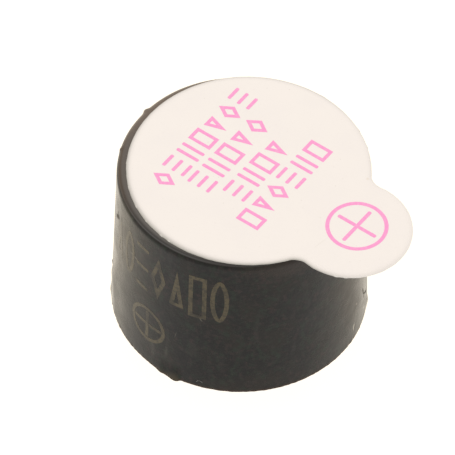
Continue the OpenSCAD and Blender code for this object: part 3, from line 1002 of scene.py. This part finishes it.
def outlined(bm, across, up, width, height, line, sides, turn=0.0):
    """A closed figure of this many sides, drawn with one line."""
    fit = 1 / math.cos(turn) if sides == 4 else 1
    at = (
        Matrix.Translation((across, up, 0))
        @ Matrix.Diagonal((width / 2 * fit, height / 2 * fit, 1, 1))
        @ Matrix.Rotation(turn, 4, "Z")
    )
    made = bmesh.ops.create_circle(bm, cap_ends=True, segments=sides, radius=1, matrix=at)
    face = made["verts"][0].link_faces[0]
    bmesh.ops.inset_region(
        bm, faces=[face], thickness=line, use_even_offset=True, use_boundary=True,
    )
    bmesh.ops.delete(bm, geom=[face], context="FACES")


def figure(bm, kind, across, up, width, height, line):
    """One plain figure: a box, a diamond, a triangle, an oval, two bars or three rungs."""
    if kind == "box":
        outlined(bm, across, up, width, height, line, 4, math.radians(45))
    elif kind == "diamond":
        outlined(bm, across, up, width, height, line, 4)
    elif kind == "triangle":
        low = up - height * triangle_drop
        outlined(bm, across, low, width, height * triangle_stretch, line, 3)
    elif kind == "oval":
        outlined(bm, across, up, width, height, line, oval_sides)
    elif kind == "bars":
        for side in (-1, 1):
            stroke(bm, across + side * width * bar_share, up, line, height)
    elif kind == "rungs":
        for level in (-1, 0, 1):
            stroke(bm, across, up + level * (height - line) / 2, width, line)


def ring_and_plus(bm, across, up, radius, reach, line):
    """The polarity mark: a ring, and a plus that doesn't touch it."""
    outlined(bm, across, up, 2 * radius, 2 * radius, line, ring_sides)
    stroke(bm, across, up, line, 2 * reach)
    for side in (-1, 1):
        stroke(bm, across + side * (reach + line / 2) / 2, up, reach - line / 2, line)


def pink_ink():
    """Thin pink ink: the film shows through where less of it was laid down."""
    finish = Finish("pink_ink", (0.82, 0.285, 0.57), roughness=0.45)
    laid = finish.blotches(0.12 * mm, detail=3)
    finish.tint(finish.spread(laid, 0.4, 0.75, 0, 0.6), (0.8, 0.39, 0.62))
    return finish.material


print_mesh = bmesh.new()
for number, (foot, start, end, count) in enumerate(printed_rows):
    pitch = (start - end) / count
    for place in range(count):
        across = -start + (place + 0.5) * pitch
        up = foot + row_height / 2
        kind = row_kinds[(2 * place + 3 * number) % len(row_kinds)]
        figure(print_mesh, kind, across, up, pitch - row_gap, row_height, ink_line)
bmesh.ops.rotate(print_mesh, cent=(0, 0, 0), matrix=row_turn, verts=print_mesh.verts[:])
ring_and_plus(
    print_mesh, tab_ring_x, tab_ring_y, tab_ring_radius, tab_plus_reach, tab_ring_line,
)
thickened(print_mesh, ink_height)
bmesh.ops.translate(print_mesh, vec=(0, 0, seal_high.z), verts=print_mesh.verts[:])
seal_print = piece(print_mesh, "pink_print", pink_ink())


# ---- faded marks on the wall ----
# Marks burnt into the black plastic, faded to a dull olive: a row of tall plain figures,
# and the ring and plus again, lower on the same side.

mark_line = 0.22 * mm
mark_height = 2.85 * mm
mark_foot = 4.87 * mm
marks_from = math.radians(-131)
marks_to = math.radians(-58.2)
mark_kinds = ["triangle", "oval", "rungs", "diamond", "triangle", "box", "oval"]
mark_gap = 0.18 * mm
mark_lift = 0.005 * mm
mark_sink = 0.2 * mark_lift
strip_width = 0.15 * mm

wall_ring_angle = math.radians(-100.3)
wall_ring_height = 2.65 * mm
wall_ring_radius = 1.12 * mm
wall_plus_reach = 0.88 * mm
wall_ring_line = 0.2 * mm


def bent_round_wall(bm):
    """Cuts a flat drawing into narrow strips both ways and bends it round the case's wall."""
    for axis in (0, 1):
        low = min(vert.co[axis] for vert in bm.verts)
        high = max(vert.co[axis] for vert in bm.verts)
        for step in range(1, math.ceil((high - low) / strip_width)):
            cut = Vector((0, 0, 0))
            across = Vector((0, 0, 0))
            cut[axis] = low + step * strip_width
            across[axis] = 1
            geometry = bm.verts[:] + bm.edges[:] + bm.faces[:]
            bmesh.ops.bisect_plane(
                bm, geom=geometry, dist=0.1 * merge_reach, plane_co=cut, plane_no=across,
            )
    thickened(bm, mark_lift)
    for vert in bm.verts:
        angle = vert.co.x / rim_radius
        radius = wall_radius(angle, vert.co.y) + vert.co.z - mark_sink
        vert.co = (radius * math.cos(angle), radius * math.sin(angle), vert.co.y)


def burnt_mark():
    """Plastic bleached to a dull olive, patchy, and wearing away here and there."""
    finish = Finish("burnt_mark", (0.062, 0.051, 0.027), roughness=0.27, ior=1.31)
    patchy = finish.blotches(0.16 * mm, detail=3)
    finish.tint(finish.spread(patchy, 0.45, 0.62, 0, 0.85), (0.034, 0.029, 0.018))
    wear_and_edge_shade = finish.blotches(0.9 * mm, detail=2)
    finish.tint(finish.spread(wear_and_edge_shade, 0.52, 0.7, 0, 0.75), (0.014, 0.012, 0.008))
    finish.relief(finish.blotches(0.14 * mm, detail=3), 0.006 * mm)
    return finish.material


marks_mesh = bmesh.new()
mark_pitch = (marks_to - marks_from) * rim_radius / len(mark_kinds)
for place, kind in enumerate(mark_kinds):
    across = marks_from * rim_radius + (place + 0.5) * mark_pitch
    up = mark_foot + mark_height / 2
    figure(marks_mesh, kind, across, up, mark_pitch - mark_gap, mark_height, mark_line)
ring_and_plus(
    marks_mesh, wall_ring_angle * rim_radius, wall_ring_height,
    wall_ring_radius, wall_plus_reach, wall_ring_line,
)
bent_round_wall(marks_mesh)
wall_marks = piece(marks_mesh, "wall_marks", burnt_mark(), crease=60)


# ---- studio ----
# A white light table under the buzzer, an even warm-white surround, one soft box above
# for the line of light on the rounded edge, and the camera.

table_half = 1.5
table_grey = 0.12
table_front = (1.02, 0.985, 0.952)
table_back = (1.17, 1.07, 0.91)
table_fade = 8 * mm

surround_white = (1.0, 0.93, 0.86)
surround_strength = 1.17

top_light_place = Vector((-0.12, 0.12, 0.35))
top_light_width = 0.12
top_light_watts = 0.12

camera_turn = math.radians(35.5)
camera_height = math.radians(50.19)
camera_roll = math.radians(1.24)
camera_distance = 0.5
camera_aim = Vector((0, 0, case_top / 2))
camera_offset = Vector((-0.614 * mm, 0.181 * mm, camera_distance))
camera_lens = 848.6
camera_sensor = 36


def light_table():
    """White acrylic lit from below, a little warmer towards the back."""
    material = bpy.data.materials.new("light_table")
    material.use_nodes = True
    tree = material.node_tree
    shader = tree.nodes["Principled BSDF"]
    shader.inputs["Base Color"].default_value = (table_grey, table_grey, table_grey, 1)
    shader.inputs["Roughness"].default_value = 0.9
    shader.inputs["Emission Strength"].default_value = 1.0
    place = tree.nodes.new("ShaderNodeTexCoord")
    towards_back = tree.nodes.new("ShaderNodeMapping")
    towards_back.vector_type = "TEXTURE"
    towards_back.inputs["Rotation"].default_value = (0, 0, camera_turn)
    split = tree.nodes.new("ShaderNodeSeparateXYZ")
    share = tree.nodes.new("ShaderNodeMapRange")
    share.inputs["From Min"].default_value = -table_fade
    share.inputs["From Max"].default_value = 0
    warmth = tree.nodes.new("ShaderNodeMix")
    warmth.data_type = "RGBA"
    warmth.inputs[6].default_value = (*table_front, 1)
    warmth.inputs[7].default_value = (*table_back, 1)
    tree.links.new(place.outputs["Object"], towards_back.inputs["Vector"])
    tree.links.new(towards_back.outputs["Vector"], split.inputs["Vector"])
    tree.links.new(split.outputs["Y"], share.inputs["Value"])
    tree.links.new(share.outputs["Result"], warmth.inputs[0])
    tree.links.new(warmth.outputs[2], shader.inputs["Emission Color"])
    return material


table_mesh = bmesh.new()
bmesh.ops.create_grid(
    table_mesh, x_segments=1, y_segments=1, size=table_half,
    matrix=Matrix.Translation((0, 0, cad_low.z)),
)
table_data = bpy.data.meshes.new("light_table")
table_mesh.to_mesh(table_data)
table_mesh.free()
table_data.materials.append(light_table())
table = bpy.data.objects.new("light_table", table_data)
bpy.context.scene.collection.objects.link(table)

surround = bpy.data.worlds.new("surround")
surround.use_nodes = True
background = surround.node_tree.nodes["Background"]
background.inputs["Color"].default_value = (*surround_white, 1)
background.inputs["Strength"].default_value = surround_strength
bpy.context.scene.world = surround
bpy.context.scene.view_settings.view_transform = "Standard"

top_lamp = bpy.data.lights.new("top_light", "AREA")
top_lamp.shape = "SQUARE"
top_lamp.size = top_light_width
top_lamp.energy = top_light_watts
top_light = bpy.data.objects.new("top_light", top_lamp)
top_light.location = top_light_place
top_light.rotation_euler = (-top_light_place).to_track_quat("-Z", "Y").to_euler()
bpy.context.scene.collection.objects.link(top_light)

camera_data = bpy.data.cameras.new("camera")
camera_data.sensor_width = camera_sensor
camera_data.lens = camera_lens
camera = bpy.data.objects.new("camera", camera_data)
camera.matrix_world = (
    Matrix.Translation(camera_aim)
    @ Matrix.Rotation(camera_turn, 4, "Z")
    @ Matrix.Rotation(math.pi / 2 - camera_height, 4, "X")
    @ Matrix.Rotation(camera_roll, 4, "Z")
    @ Matrix.Translation(camera_offset)
)
bpy.context.scene.collection.objects.link(camera)
bpy.context.scene.camera = camera
